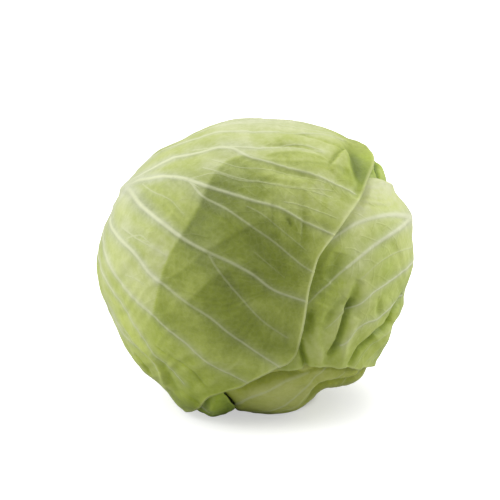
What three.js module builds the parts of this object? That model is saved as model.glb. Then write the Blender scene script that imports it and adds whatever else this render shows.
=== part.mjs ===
// White cabbage, lying on its side: six wrapper leaves over a packed inner head, with a cut stem stump.
// Millimetres, +Z up, the leaf tips facing -Y. The head rests on a small flat spot at the origin.
//
// A direction from the head's centre is written as [clock, reach] in degrees. Clock turns anticlockwise
// from +X as seen from the leaf tips. Reach is measured from the tip of the head (0) to the stem (180).

import * as THREE from 'three';

// Driving sizes.
const HALF_WIDTH = 89.95;
const HALF_HEIGHT = 84;
const HALF_LENGTH = 82;
const CENTRE_HEIGHT = 79.2;
const GROWTH_TILT = 15;
const LEAF_THICKNESS = 1.2;
const LEAF_GAP = 1;
const LAYER_STEP = LEAF_THICKNESS + LEAF_GAP;
const INNER_HEAD_GAP = 1.6;
const STUMP_RADIUS = 13.5;
const STUMP_END = 89;
const STUMP_SEAT = 65;
const STUMP_CLEARANCE = 0.4;
const STUMP_CHAMFER = 1.5;

// How far past a leaf's margin the leaf below starts to rise, and where it is fully up. On the flat
// spot, where the leaves are pressed down, it comes up sooner.
const RISE_START = 6;
const RISE_END = 44;
const PRESSED_RISE_END = 20;

// Mesh density.
const LEAF_CELLS = 18;
const HEAD_RINGS = 18;
const HEAD_SEGMENTS = 32;
const STUMP_SEGMENTS = 32;
const RIM_SAMPLES = 120;

// How far the head stands out (+) or in (-) round its widest ring, as [clock, height in mm]. This fades
// over a spread of reach, in degrees, on both sides of the ring.
const WIDEST_REACH = 84;
const RING_SPREAD = 20;
const RING = [
  [0, -0.4], [18, 2.2], [30, 1.4], [41, 2.6], [55, 3], [70, 0.8], [88, -1], [105, -1.8], [119, -3.2],
  [143, -2.6], [162, -2], [178, -0.6], [201, -2.6], [222, -0.6], [243, 2.6], [261, -1.6], [276, -0.4],
  [299, -5], [314, 0.2], [330, -0.9], [344, -3],
];

// The wrapper leaves from the outermost inwards. Each has its middle and its outline, both as
// [clock, reach]. The first outline points are the base beside the stem.
const WRAPPER_LEAVES = [
  {
    name: 'wrapper_leaf_front',
    colour: 0x9fb26a,
    middle: [152, 70],
    outline: [
      [152, 167], [110, 165], [84, 150], [68, 125], [58, 108], [53, 98], [45, 77], [39, 61], [33, 49],
      [20, 30], [-6, 21], [-40, 24], [-66, 37], [-88, 43], [-104, 54], [-110, 63], [-114, 77],
      [-119, 90], [-126, 105], [-136, 125], [-155, 150], [-166, 165],
    ],
  },
  {
    name: 'wrapper_leaf_right',
    colour: 0xb4c283,
    middle: [2, 56],
    outline: [
      [17, 167], [-20, 165], [-36, 148], [-42, 125], [-41, 105], [-40, 92], [-41, 80], [-47, 60],
      [-59, 47], [-83, 41], [-88, 36], [-84, 26], [-66, 16], [-30, 10], [40, 10], [60, 22], [62, 34],
      [58, 46], [48, 54], [38, 62], [32, 75], [30, 85], [30, 97], [33, 110], [34, 126], [36, 142],
      [32, 158],
    ],
  },
  {
    name: 'wrapper_leaf_left',
    colour: 0x86964a,
    middle: [-175, 72],
    outline: [
      [-175, 167], [140, 164], [125, 145], [116, 120], [112, 95], [112, 70], [122, 48], [150, 34],
      [-160, 34], [-125, 46], [-110, 54], [-102, 61], [-98, 71], [-101, 81], [-109, 95], [-117, 106],
      [-128, 122], [-135, 145], [-147, 163],
    ],
  },
  {
    name: 'wrapper_leaf_bottom',
    colour: 0x98a862,
    middle: [-118, 75],
    outline: [
      [-123, 167], [-80, 164], [-58, 145], [-44, 122], [-38, 100], [-38, 80], [-40, 55], [-30, 30],
      [60, 15], [148, 18], [-176, 30], [-171, 55], [-172, 85], [-174, 115], [176, 145], [-170, 163],
    ],
  },
  {
    name: 'wrapper_leaf_top',
    colour: 0xa9bb5e,
    middle: [99, 74],
    outline: [
      [99, 167], [145, 164], [162, 145], [170, 115], [172, 85], [176, 55], [-170, 30], [-100, 13],
      [-20, 20], [10, 45], [17, 70], [19, 90], [22, 115], [33, 145], [55, 163],
    ],
  },
  {
    name: 'wrapper_leaf_lower_right',
    colour: 0xa3b36c,
    middle: [-40, 76],
    outline: [
      [-38, 167], [5, 164], [24, 145], [33, 115], [34, 85], [42, 55], [80, 30], [150, 22],
      [-130, 28], [-112, 55], [-108, 85], [-108, 115], [-104, 145], [-84, 163],
    ],
  },
];

const INNER_HEAD_COLOUR = 0xd9dfae;
const STUMP_COLOUR = 0xdfe0bc;

const radians = THREE.MathUtils.degToRad;
const degrees = THREE.MathUtils.radToDeg;

// The head's own axes: across, upright as seen from the tips, and growth from stem to tips.
const ACROSS = new THREE.Vector3(1, 0, 0);
const UPRIGHT = new THREE.Vector3(0, Math.sin(radians(GROWTH_TILT)), Math.cos(radians(GROWTH_TILT)));
const GROWTH = new THREE.Vector3(0, -Math.cos(radians(GROWTH_TILT)), Math.sin(radians(GROWTH_TILT)));
const CENTRE = new THREE.Vector3(0, 0, CENTRE_HEIGHT);

function direction([clock, reach]) {
  const side = Math.sin(radians(reach));
  return new THREE.Vector3()
    .addScaledVector(GROWTH, Math.cos(radians(reach)))
    .addScaledVector(ACROSS, side * Math.cos(radians(clock)))
    .addScaledVector(UPRIGHT, side * Math.sin(radians(clock)));
}

// A smooth closed curve through [place, value] points that repeats after a lap.
function closedCurve(points, lap) {
  const knots = [...points].sort(([one], [other]) => one - other);
  const count = knots.length;
  const at = (index) => {
    const laps = Math.floor(index / count);
    const [place, value] = knots[index - laps * count];
    return { place: place + laps * lap, value };
  };
  return (place) => {
    let low = count - 1;
    while (low >= 0 && knots[low][0] > place) low -= 1;
    const [before, left, right, after] = [at(low - 1), at(low), at(low + 1), at(low + 2)];
    const span = right.place - left.place;
    const slopeLeft = (right.value - before.value) / (right.place - before.place);
    const slopeRight = (after.value - left.value) / (after.place - left.place);
    const part = (place - left.place) / span;
    const square = part * part;
    const cube = square * part;
    return (2 * cube - 3 * square + 1) * left.value
      + (cube - 2 * square + part) * span * slopeLeft
      + (3 * square - 2 * cube) * right.value
      + (cube - square) * span * slopeRight;
  };
}

const ringHeight = closedCurve(RING, 360);

// Radius of the whole head along a direction, before the flat spot is pressed into it.
function headRadius(dir) {
  const across = dir.dot(ACROSS);
  const upright = dir.dot(UPRIGHT);
  const growth = dir.dot(GROWTH);
  const clock = degrees(Math.atan2(upright, across));
  const fromRing = (degrees(Math.acos(THREE.MathUtils.clamp(growth, -1, 1))) - WIDEST_REACH) / RING_SPREAD;
  const nearRing = Math.exp(-0.5 * fromRing * fromRing);
  const smooth = 1 / Math.hypot(across / HALF_WIDTH, upright / HALF_HEIGHT, growth / HALF_LENGTH);
  return smooth + ringHeight((clock + 360) % 360) * nearRing;
}

// A leaf's own chart: angle from its middle, and turn around its middle starting at the stem side. Its
// margin gives the angle out to the leaf's edge at each turn.
function makeChart(leaf) {
  const middle = direction(leaf.middle);
  const toStem = GROWTH.clone().multiplyScalar(-1);
  toStem.addScaledVector(middle, -toStem.dot(middle)).normalize();
  const sideways = new THREE.Vector3().crossVectors(middle, toStem);
  const chart = { middle, toStem, sideways };
  const outline = leaf.outline.map((point) => {
    const { angle, turn } = chartPoint(chart, direction(point));
    return [turn, angle];
  });
  chart.margin = closedCurve(outline, 2 * Math.PI);
  chart.rim = Array.from({ length: RIM_SAMPLES }, (_, step) => {
    const turn = Math.PI * ((2 * step) / RIM_SAMPLES - 1);
    return chartDirection(chart, chart.margin(turn), turn);
  });
  return chart;
}

function chartPoint(chart, dir) {
  const turn = Math.atan2(dir.dot(chart.sideways), dir.dot(chart.toStem));
  return { angle: chart.middle.angleTo(dir), turn };
}

function chartDirection(chart, angle, turn) {
  return chart.middle.clone().multiplyScalar(Math.cos(angle))
    .addScaledVector(chart.toStem, Math.sin(angle) * Math.cos(turn))
    .addScaledVector(chart.sideways, Math.sin(angle) * Math.sin(turn));
}

// Distance along the head from a leaf's margin out to a direction: 0 under the leaf itself.
function distanceOutside(chart, dir) {
  const { angle, turn } = chartPoint(chart, dir);
  if (angle <= chart.margin(turn)) return 0;
  const nearest = Math.max(...chart.rim.map((point) => point.dot(dir)));
  return HALF_HEIGHT * Math.acos(Math.min(nearest, 1));
}

const charts = WRAPPER_LEAVES.map(makeChart);

// Radius of the outer face of the layer that lies under the first leafCount leaves, flat where it is
// pressed against the surface below.
function layerRadius(dir, leafCount) {
  let free = headRadius(dir);
  let drop = CENTRE_HEIGHT;
  for (const chart of charts.slice(0, leafCount)) {
    const outside = distanceOutside(chart, dir);
    free -= LAYER_STEP * (1 - THREE.MathUtils.smoothstep(outside, RISE_START, RISE_END));
    drop -= LAYER_STEP * (1 - THREE.MathUtils.smoothstep(outside, RISE_START, PRESSED_RISE_END));
  }
  return dir.z < 0 ? Math.min(free, drop / -dir.z) : free;
}

function solid(name, colour, positions, triangles) {
  const geometry = new THREE.BufferGeometry();
  geometry.setAttribute('position', new THREE.Float32BufferAttribute(positions, 3));
  geometry.setIndex(triangles);
  geometry.computeVertexNormals();
  const material = new THREE.MeshStandardMaterial({ color: colour, roughness: 0.5, metalness: 0 });
  const mesh = new THREE.Mesh(geometry, material);
  mesh.name = name;
  return mesh;
}

// Where a point of the square from -1 to 1 lands on the round leaf: share of the way out, and turn.
function squareToRound(across, up) {
  if (across === 0 && up === 0) return { share: 0, turn: 0 };
  if (Math.abs(across) > Math.abs(up)) {
    const turn = (Math.PI / 4) * (up / across) + (across < 0 ? Math.PI : 0);
    return { share: Math.abs(across), turn };
  }
  const turn = Math.PI / 2 - (Math.PI / 4) * (across / up) + (up < 0 ? Math.PI : 0);
  return { share: Math.abs(up), turn };
}

function spacing(positions, one, other) {
  const [x, y, z] = [0, 1, 2].map((axis) => positions[3 * one + axis] - positions[3 * other + axis]);
  return Math.hypot(x, y, z);
}

function leafSolid(leaf, order) {
  const chart = charts[order];
  const side = LEAF_CELLS + 1;
  const positions = [];
  for (const depth of [0, LEAF_THICKNESS]) {
    for (let row = 0; row < side; row += 1) {
      for (let column = 0; column < side; column += 1) {
        const place = squareToRound((2 * column) / LEAF_CELLS - 1, (2 * row) / LEAF_CELLS - 1);
        const turn = Math.atan2(Math.sin(place.turn), Math.cos(place.turn));
        const angle = place.share * chart.margin(turn);
        const dir = chartDirection(chart, angle, turn);
        const point = dir.clone().multiplyScalar(layerRadius(dir, order) - depth).add(CENTRE);
        positions.push(point.x, point.y, point.z);
      }
    }
  }

  const outer = (row, column) => row * side + column;
  const inner = (row, column) => side * side + row * side + column;
  const triangles = [];
  for (let row = 0; row < LEAF_CELLS; row += 1) {
    for (let column = 0; column < LEAF_CELLS; column += 1) {
      const corners = [[row, column], [row, column + 1], [row + 1, column + 1], [row + 1, column]];
      const [a, b, c, d] = corners.map(([r, k]) => outer(r, k));
      const [e, f, g, h] = corners.map(([r, k]) => inner(r, k));
      const [toC, toD] = [spacing(positions, a, c), spacing(positions, b, d)];
      if (toC < toD) triangles.push(a, b, c, a, c, d, e, g, f, e, h, g);
      else triangles.push(a, b, d, b, c, d, e, h, f, f, h, g);
    }
  }
  const border = [];
  for (let step = 0; step < LEAF_CELLS; step += 1) border.push([0, step]);
  for (let step = 0; step < LEAF_CELLS; step += 1) border.push([step, LEAF_CELLS]);
  for (let step = LEAF_CELLS; step > 0; step -= 1) border.push([LEAF_CELLS, step]);
  for (let step = LEAF_CELLS; step > 0; step -= 1) border.push([step, 0]);
  border.forEach(([row, column], index) => {
    const [nextRow, nextColumn] = border[(index + 1) % border.length];
    const [a, b] = [outer(row, column), outer(nextRow, nextColumn)];
    const [c, d] = [inner(row, column), inner(nextRow, nextColumn)];
    triangles.push(a, c, d, a, d, b);
  });
  return solid(leaf.name, leaf.colour, positions, triangles);
}

// The tight inner leaves, packed into one body that fills the wrapper leaves. It is flat where the
// stump sits.
function innerHeadSolid() {
  const allLeaves = WRAPPER_LEAVES.length;
  const positions = [];
  const addPoint = (dir) => {
    const towardStem = -dir.dot(GROWTH);
    const free = layerRadius(dir, allLeaves) + LEAF_GAP - INNER_HEAD_GAP;
    const radius = towardStem > 0 ? Math.min(free, STUMP_SEAT / towardStem) : free;
    const point = dir.clone().multiplyScalar(radius).add(CENTRE);
    positions.push(point.x, point.y, point.z);
  };
  addPoint(direction([0, 0]));
  for (let ring = 1; ring < HEAD_RINGS; ring += 1) {
    for (let step = 0; step < HEAD_SEGMENTS; step += 1) {
      addPoint(direction([(360 * step) / HEAD_SEGMENTS, (180 * ring) / HEAD_RINGS]));
    }
  }
  addPoint(direction([0, 180]));

  const at = (ring, step) => 1 + (ring - 1) * HEAD_SEGMENTS + (step % HEAD_SEGMENTS);
  const last = 1 + (HEAD_RINGS - 1) * HEAD_SEGMENTS;
  const triangles = [];
  for (let step = 0; step < HEAD_SEGMENTS; step += 1) {
    triangles.push(0, at(1, step), at(1, step + 1));
    triangles.push(last, at(HEAD_RINGS - 1, step + 1), at(HEAD_RINGS - 1, step));
    for (let ring = 1; ring < HEAD_RINGS - 1; ring += 1) {
      const [a, b] = [at(ring, step), at(ring, step + 1)];
      const [c, d] = [at(ring + 1, step), at(ring + 1, step + 1)];
      triangles.push(a, c, d, a, d, b);
    }
  }
  return solid('inner_head', INNER_HEAD_COLOUR, positions, triangles);
}

// The cut stem: a short round stub, a little narrower at its cut end.
function stumpSolid() {
  const start = STUMP_SEAT + STUMP_CLEARANCE;
  const cutRadius = STUMP_RADIUS - 1;
  const profile = [
    new THREE.Vector2(0, start),
    new THREE.Vector2(STUMP_RADIUS, start),
    new THREE.Vector2(STUMP_RADIUS, start + STUMP_RADIUS),
    new THREE.Vector2(cutRadius, STUMP_END - STUMP_CHAMFER),
    new THREE.Vector2(cutRadius - STUMP_CHAMFER, STUMP_END),
    new THREE.Vector2(0, STUMP_END),
  ];
  const geometry = new THREE.LatheGeometry(profile, STUMP_SEGMENTS);
  const alongStem = GROWTH.clone().multiplyScalar(-1);
  const turned = new THREE.Quaternion().setFromUnitVectors(new THREE.Vector3(0, 1, 0), alongStem);
  geometry.applyQuaternion(turned);
  geometry.translate(CENTRE.x, CENTRE.y, CENTRE.z);
  const material = new THREE.MeshStandardMaterial({ color: STUMP_COLOUR, roughness: 0.7, metalness: 0 });
  const mesh = new THREE.Mesh(geometry, material);
  mesh.name = 'stem_stump';
  return mesh;
}

const cabbage = new THREE.Group();
cabbage.name = 'white_cabbage';
WRAPPER_LEAVES.forEach((leaf, order) => cabbage.add(leafSolid(leaf, order)));
cabbage.add(innerHeadSolid());
cabbage.add(stumpSolid());

export default cabbage;
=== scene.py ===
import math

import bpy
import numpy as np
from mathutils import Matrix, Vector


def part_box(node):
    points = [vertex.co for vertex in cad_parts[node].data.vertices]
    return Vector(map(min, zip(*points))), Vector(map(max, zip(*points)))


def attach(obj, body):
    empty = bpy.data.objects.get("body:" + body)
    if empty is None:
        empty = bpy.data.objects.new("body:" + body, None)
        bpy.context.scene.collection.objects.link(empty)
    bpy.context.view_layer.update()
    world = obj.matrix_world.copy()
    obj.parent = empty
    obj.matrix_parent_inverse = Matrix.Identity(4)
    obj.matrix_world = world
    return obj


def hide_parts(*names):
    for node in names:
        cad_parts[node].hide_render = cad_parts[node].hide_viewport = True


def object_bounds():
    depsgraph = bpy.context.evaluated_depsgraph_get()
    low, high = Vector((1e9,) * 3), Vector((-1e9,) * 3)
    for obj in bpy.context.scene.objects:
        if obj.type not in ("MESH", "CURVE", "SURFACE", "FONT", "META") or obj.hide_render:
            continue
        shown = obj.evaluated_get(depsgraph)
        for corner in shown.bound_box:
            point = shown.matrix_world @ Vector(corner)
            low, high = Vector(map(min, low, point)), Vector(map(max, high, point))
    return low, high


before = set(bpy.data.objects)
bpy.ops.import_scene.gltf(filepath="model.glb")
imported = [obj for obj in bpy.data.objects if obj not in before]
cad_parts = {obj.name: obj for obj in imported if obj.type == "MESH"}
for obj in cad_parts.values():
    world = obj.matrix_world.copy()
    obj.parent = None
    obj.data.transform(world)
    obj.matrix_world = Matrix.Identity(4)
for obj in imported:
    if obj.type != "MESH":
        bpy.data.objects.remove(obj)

# White cabbage, lying on its side with the leaf tips towards -Y and the stem towards +Y.
#
# A place on the head is (clock, reach) in degrees. Clock turns anticlockwise from +X as seen from the leaf
# tips. Reach goes from the tip of the head (0) to the stem (180). Lengths on the head are in millimetres.
# Each leaf is laid under the ones before it in LEAVES and rises again beyond their margins.

MM = 0.001
CAD_LOW, CAD_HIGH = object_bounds()

# The head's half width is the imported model's. Its other sizes are shares of that.
HALF_WIDTH = (CAD_HIGH.x - CAD_LOW.x) / 2 / MM
HALF_HEIGHT = 0.94 * HALF_WIDTH
HALF_LENGTH = 0.92 * HALF_WIDTH
CENTRE = np.array([0.0, 0.0, 0.886 * HALF_WIDTH])
MEAN_RADIUS = HALF_HEIGHT

# The head's own axes: growth is from the stem to the leaf tips, and upright as seen from there.
GROWTH_TILT = math.radians(15)
ACROSS = np.array([1.0, 0.0, 0.0])
UPRIGHT = np.array([0.0, math.sin(GROWTH_TILT), math.cos(GROWTH_TILT)])
GROWTH = np.array([0.0, -math.cos(GROWTH_TILT), math.sin(GROWTH_TILT)])


# -------- places and lines on the head

def directions(points):
    """Unit vectors from the head's centre for rows of (clock, reach)."""
    clock, reach = np.radians(np.asarray(points, float).reshape(-1, 2)).T
    side = np.sin(reach)[:, None]
    around = np.cos(clock)[:, None] * ACROSS + np.sin(clock)[:, None] * UPRIGHT
    return np.cos(reach)[:, None] * GROWTH + side * around


def angle_from(dirs, axis):
    return np.arccos(np.clip(dirs @ axis, -1, 1))


def degrees_from(dirs, axis):
    return np.degrees(angle_from(dirs, axis))


def unit(vectors):
    return vectors / np.linalg.norm(vectors, axis=-1, keepdims=True)


def smoothstep(values, low, high):
    part = np.clip((values - low) / (high - low), 0, 1)
    return part * part * (3 - 2 * part)


def bell(values, spread):
    """1 at 0, falling away on both sides with a spread."""
    return np.exp(-0.5 * (values / spread) ** 2)


def smooth_line(points, step=2.5):
    """A smooth line over the head through a few (clock, reach) points, as unit vectors."""
    knots = directions(points)
    knots = np.vstack([2 * knots[0] - knots[1], knots, 2 * knots[-1] - knots[-2]])
    line = []
    for before, left, right, after in zip(knots, knots[1:], knots[2:], knots[3:]):
        bend = math.degrees(math.acos(float(np.clip(left @ right, -1, 1))))
        count = max(2, round(bend / step))
        for part in np.arange(count) / count:
            curve = (
                2 * left
                + (right - before) * part
                + (2 * before - 5 * left + 4 * right - after) * part ** 2
                + (3 * left - before - 3 * right + after) * part ** 3
            )
            line.append(curve / 2)
    line.append(knots[-2])
    return unit(np.array(line))


def as_segments(lines, widths):
    """Lines of unit vectors as one set of segments, with their places along the lines and their widths."""
    parts = []
    for line, width in zip(lines, widths):
        along = np.linspace(0, 1, len(line))
        middle = (along[:-1] + along[1:]) / 2
        parts.append((line[:-1], line[1:], along[:-1], along[1:], np.interp(middle, (0, 1), width)))
    keys = ("start", "end", "along_start", "along_end", "width")
    return {key: np.concatenate(values) for key, values in zip(keys, zip(*parts))}


def nearest(dirs, segments, rows=4096):
    """The nearest segment in widths of it: distance in mm, share of its width, side and place along."""
    start, end = segments["start"], segments["end"]
    run = end - start
    run_square = (run * run).sum(1)
    start_run = (start * run).sum(1)
    normal = np.cross(start, end)
    found = {key: [] for key in ("distance", "share", "side", "along")}
    for first in range(0, len(dirs), rows):
        here = dirs[first:first + rows]
        offset = here @ run.T - start_run
        place = np.clip(offset / run_square, 0, 1)
        square = 2 - 2 * (here @ start.T) - 2 * place * offset + place ** 2 * run_square
        distance = MEAN_RADIUS * np.sqrt(np.maximum(square, 0))
        share = distance / segments["width"]
        best = share.argmin(1)
        row = np.arange(len(here))
        span = segments["along_end"][best] - segments["along_start"][best]
        found["distance"].append(distance[row, best])
        found["share"].append(share[row, best])
        found["side"].append(np.sign((here * normal[best]).sum(1)))
        found["along"].append(segments["along_start"][best] + span * place[row, best])
    return {key: np.concatenate(values) for key, values in found.items()}


def nearest_line(dirs, points):
    return nearest(dirs, as_segments([smooth_line(points)], [(1, 1)]))


def bumps(dirs, strength, wavelength, seed, count=28):
    """Smooth bumpy noise over the head, about -strength to strength, with a wavelength in mm."""
    random = np.random.default_rng(seed)
    heading = unit(random.normal(size=(count, 3)))
    size = random.uniform(0.7, 1.4, count) * 2 * math.pi * MEAN_RADIUS / wavelength
    phase = random.uniform(0, 2 * math.pi, count)
    total = np.zeros(len(dirs))
    for way, often, shift in zip(heading, size, phase):
        total += np.sin(dirs @ way * often + shift)
    return strength * (total / math.sqrt(count))


# -------- the shape of the head

# The head's widest ring, by reach, and how quickly its bumps die away beside it.
WIDEST_REACH = 84
RING_SPREAD = 20

# How far the head stands out (+) or in (-) round that ring, as (clock, height).
RING = [
    (0, -0.4), (10, 1), (18, 3.2), (27, 0.3), (32, 1.3), (37, 3), (43, 2.6), (50, 2.9), (60, 2.8),
    (70, 0.8), (88, -1), (105, -1.8), (119, -3.8), (130, -2.2), (143, -2.8), (150, -2), (162, -2.2),
    (178, -0.4), (190, -1), (201, -3.2), (213, -1.8), (222, -0.6), (233, 0.2), (243, 2.1), (251, 3.6),
    (259, -1), (266, -1.4), (272, -0.2), (279, 1), (286, 0.8), (292, -2), (299, -5.6), (305, -2.6),
    (312, 1.3), (322, -1.1), (330, -0.9), (337, -3.6), (344, -2.6), (350, -3.4),
]

def closed_curve(places, values, lap):
    """A smooth closed curve through (place, value) points that repeats after a lap."""
    order = np.argsort(places)
    places, values = np.asarray(places, float)[order], np.asarray(values, float)[order]
    places = np.concatenate([places - lap, places, places + lap])
    values = np.tile(values, 3)
    slopes = np.zeros(len(places))
    slopes[1:-1] = (values[2:] - values[:-2]) / (places[2:] - places[:-2])

    def curve(at):
        left = np.searchsorted(places, at, side="right") - 1
        span = places[left + 1] - places[left]
        part = (at - places[left]) / span
        square, cube = part ** 2, part ** 3
        return (
            (2 * cube - 3 * square + 1) * values[left]
            + (cube - 2 * square + part) * span * slopes[left]
            + (3 * square - 2 * cube) * values[left + 1]
            + (cube - square) * span * slopes[left + 1]
        )
    return curve


ring_height = closed_curve(*zip(*RING), 360)


def head_radius(dirs):
    """Radius of the whole head, before the flat spot is pressed into it."""
    across, upright, growth = dirs @ ACROSS, dirs @ UPRIGHT, dirs @ GROWTH
    scaled = (across / HALF_WIDTH) ** 2 + (upright / HALF_HEIGHT) ** 2 + (growth / HALF_LENGTH) ** 2
    clock = np.degrees(np.arctan2(upright, across)) % 360
    near_ring = bell(degrees_from(dirs, GROWTH) - WIDEST_REACH, RING_SPREAD)
    round_head = 1 / np.sqrt(scaled) + ring_height(clock) * near_ring
    return round_head + bumps(dirs, strength=0.5, wavelength=60, seed=5)


# -------- leaves: outlines, ribs and folds

# Greens from deep to nearly white, evenly spaced by tone, as 0 to 255 display values.
FRONT_GREENS = (
    (54, 64, 6), (102, 114, 24), (135, 148, 48), (175, 186, 91), (205, 210, 152), (220, 221, 192),
)
LIME_GREENS = (
    (54, 66, 4), (102, 118, 20), (136, 152, 42), (174, 188, 80), (204, 211, 136), (221, 222, 188),
)
YELLOW_GREENS = (
    (54, 62, 2), (104, 112, 18), (139, 147, 38), (180, 186, 78), (207, 209, 138), (220, 219, 182),
)
BRIGHT_GREENS = (
    (50, 66, 4), (104, 126, 14), (138, 160, 34), (176, 194, 74), (206, 214, 140), (222, 224, 188),
)

# Each leaf, from the outermost inwards. Outlines and lines are (clock, reach) points, and its own chart is
# centred on its middle. Cells is how many mesh cells go across it, lift how far its margin stands up in mm,
# haze how strong the pale haze beside its ribs is, and rim how bright the painted highlight on its edge is.
# A rib is (points, width at its start, width at its end, height, paleness).
# A fold is (points, height, half width, tone): its tone is painted light and shade, making the blade along
# it paler (+) on a crest or deeper (-) in a hollow or under an edge.
# A side at the end puts it only on the left (1) or the right (-1) of its line.
# A wash is (clock, reach, spread, amount): paler (+) or deeper (-) green, or fresher green under fresh.
# Some are the leaf's own paler and deeper patches, others painted light and painted shade, such as under an
# outer margin.
# An overlay is (points, amount, fade in mm): painted shade, deeper green on the left of the line where
# another leaf's margin shows through the blade, fading away from it.
PLAIN_LEAF = {
    "lift": 0.6, "haze": 0.6, "rim": 0.2, "greens": FRONT_GREENS,
    "folds": (), "washes": (), "fresh": (), "shade_overlays": (),
}
FRONT = dict(
    PLAIN_LEAF, node="wrapper_leaf_front", slot="front_leaf", cells=276, middle=(152, 70), lift=1.5,
    haze=0.8, rim=0.95,
)
FRONT["outline"] = [
    (152, 167), (110, 165), (84, 150), (68, 125), (58, 108), (53, 98), (50, 90), (47, 83), (45, 76),
    (42, 69), (39, 61), (35, 53), (32, 47), (28, 39), (20, 30), (8, 23), (-6, 21), (-24, 21), (-40, 24),
    (-57, 31), (-64, 36), (-71, 39), (-78, 40), (-85, 42), (-91, 45), (-97, 50), (-104, 54), (-108, 57),
    (-110, 61), (-111, 67), (-114, 77), (-119, 90), (-126, 105), (-136, 125), (-155, 150), (-166, 165),
]
FRONT["ribs"] = [
    ([(152, 168), (152, 130), (151, 100), (149, 78)], 9, 4.4, 2.4, 1),
    ([(150, 84), (141, 70), (130, 62), (116, 54), (102, 50), (93, 44), (79, 41), (63, 41), (48, 44),
      (36, 49)], 3.4, 1.6, 0.9, 0.95),
    ([(106, 52), (90, 49), (81, 50), (71, 52), (60, 55)], 1.6, 1.2, 0.4, 0.6),
    ([(151, 94), (136, 80), (121, 70), (105, 63), (92, 60), (79, 61), (63, 68),
      (55, 74)], 3, 1.2, 0.6, 0.7),
    ([(151, 100), (128, 82), (106, 71), (87, 69), (67, 69), (60, 76)], 2.6, 1.2, 0.5, 0.6),
    ([(149, 80), (147, 74), (140, 60), (131, 47), (123, 37), (110, 29), (93, 24), (69, 23), (44, 24),
      (22, 31)], 3.8, 1.5, 0.9, 1),
    ([(128, 43), (113, 39), (100, 33), (80, 32), (60, 34), (44, 42)], 1.1, 1, 0.3, 0.35),
    ([(133, 49), (128, 42), (127, 33), (118, 24), (98, 15), (50, 11), (3, 16),
      (-6, 21)], 1.9, 1.3, 0.5, 0.6),
    ([(150, 76), (149, 67), (152, 53), (155, 39), (159, 28), (163, 18), (170, 9), (-106, 3), (-51, 11),
      (-34, 23)], 3.8, 1.5, 0.9, 1),
    ([(163, 18), (174, 15), (-173, 13), (-118, 12), (-85, 19), (-66, 29)], 1.7, 1.3, 0.4, 0.45),
    ([(92, 5), (26, 4), (-21, 11)], 1, 0.9, 0.2, 0.2),
    ([(151, 98), (160, 80), (165, 68), (173, 49), (-177, 41), (-167, 34), (-150, 28), (-131, 25),
      (-109, 27), (-76, 40)], 3.2, 1.4, 0.8, 0.95),
    ([(152, 110), (157, 100), (168, 80), (176, 66), (-173, 56), (-163, 49), (-151, 43), (-133, 40),
      (-116, 42), (-93, 47)], 2.8, 1.3, 0.7, 0.8),
    ([(152, 122), (159, 109), (172, 86), (-178, 71), (-165, 60), (-156, 57), (-147, 56), (-139, 57),
      (-130, 57), (-121, 60)], 2.6, 1, 0.6, 0.9),
    ([(-162, 78), (-152, 72), (-147, 66), (-142, 63), (-136, 62)], 1.5, 1, 0.4, 0.7),
    ([(152, 132), (162, 116), (-178, 92), (-160, 76), (-151, 66), (-139, 61),
      (-133, 66)], 2.2, 1.2, 0.5, 0.6),
    ([(152, 141), (167, 122), (-165, 102), (-140, 88), (-122, 84)], 2, 1.2, 0.5, 0.6),
    ([(152, 116), (140, 101), (118, 88), (94, 81), (72, 80)], 2.4, 1.2, 0.5, 0.6),
    ([(152, 130), (136, 116), (112, 105), (88, 98), (68, 96)], 2.4, 1.2, 0.5, 0.6),
    ([(152, 146), (134, 132), (112, 124), (88, 118), (72, 118)], 2.4, 1.2, 0.5, 0.6),
    ([(152, 150), (170, 132), (-168, 119), (-145, 110)], 2.2, 1.2, 0.5, 0.6),
    ([(144, 62), (144, 52), (142, 42), (144, 33)], 1.2, 0.9, 0.25, 0.4),
    ([(118, 44), (100, 34), (85, 32), (69, 32), (54, 35), (43, 39)], 1.3, 1, 0.3, 0.45),
    ([(112, 46), (98, 39), (80, 38), (66, 38), (50, 42)], 1.1, 0.9, 0.2, 0.3),
    ([(66, 26), (54, 28), (41, 31), (31, 35)], 1.1, 0.9, 0.2, 0.35),
    ([(98, 22), (83, 19), (49, 16), (18, 19)], 1.1, 0.9, 0.2, 0.3),
    ([(168, 54), (165, 47), (168, 41), (172, 35)], 1.2, 0.9, 0.2, 0.4),
    ([(118, 58), (109, 53), (97, 50), (83, 50), (69, 55), (60, 56)], 1.6, 1.2, 0.3, 0.5),
    ([(164, 58), (167, 48), (168, 44), (173, 34)], 1.3, 0.9, 0.25, 0.5),
    ([(-176, 53), (-174, 48), (-171, 44)], 1, 0.8, 0.2, 0.3),
]
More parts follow.
